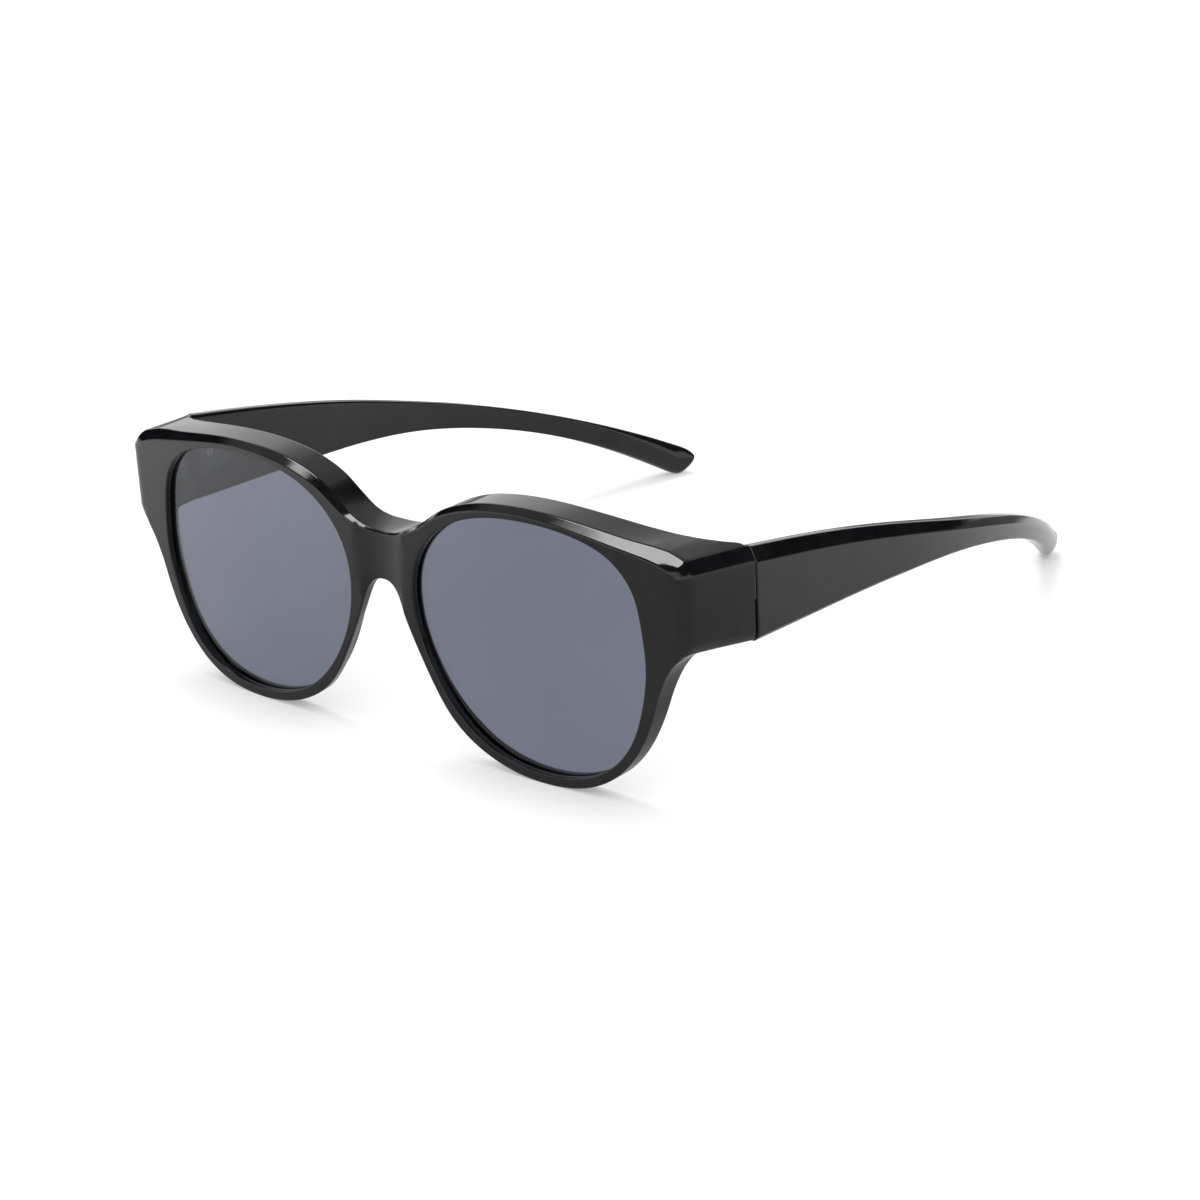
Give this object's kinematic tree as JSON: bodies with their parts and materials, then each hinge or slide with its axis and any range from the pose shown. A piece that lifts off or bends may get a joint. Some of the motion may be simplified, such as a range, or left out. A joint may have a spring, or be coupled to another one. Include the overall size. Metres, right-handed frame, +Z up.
{
  "type": "fitover sunglasses",
  "caption": "Black fitover sunglasses with tinted lenses, a deep brow shelf, flared end pieces and folding temples that bend inwards, worn over the wearer's own glasses.",
  "frame": {"origin": "under the middle of the whole object, on the surface it stands on", "axes": "+X to the wearer's left, +Y from the face back along the temples, +Z up"},
  "size_m": [0.1528, 0.157, 0.055],
  "materials": {
    "frame_black": "polished black moulding",
    "temple_black": "polished black moulding",
    "lens_tint": "smoky blue-grey tint, polished",
    "hinge_metal": "plain stamped metal",
    "screw_metal": "slotted screw heads"
  },
  "bodies": {
    "front": {"front_frame": "frame_black", "left_lens": "lens_tint", "left_front_hinge_leaf": "hinge_metal", "left_hinge_screw": "screw_metal", "left_front_leaf_screws": "screw_metal", "right_lens": "lens_tint", "right_front_hinge_leaf": "hinge_metal", "right_hinge_screw": "screw_metal", "right_front_leaf_screws": "screw_metal"},
    "left_temple": {"left_temple": "temple_black", "left_temple_hinge_leaf": "hinge_metal", "left_temple_leaf_screws": "screw_metal"},
    "right_temple": {"right_temple": "temple_black", "right_temple_hinge_leaf": "hinge_metal", "right_temple_leaf_screws": "screw_metal"}
  },
  "joints": [
    {"name": "left_temple_fold", "type": "hinge", "parent": "front", "child": "left_temple", "pos_m": [0.0717, -0.058, 0.03985], "axis": [0, 0, 1], "range_deg": [0, 86]},
    {"name": "right_temple_fold", "type": "hinge", "parent": "front", "child": "right_temple", "pos_m": [-0.0717, -0.058, 0.03985], "axis": [0, 0, -1], "range_deg": [0, 77]}
  ]
}
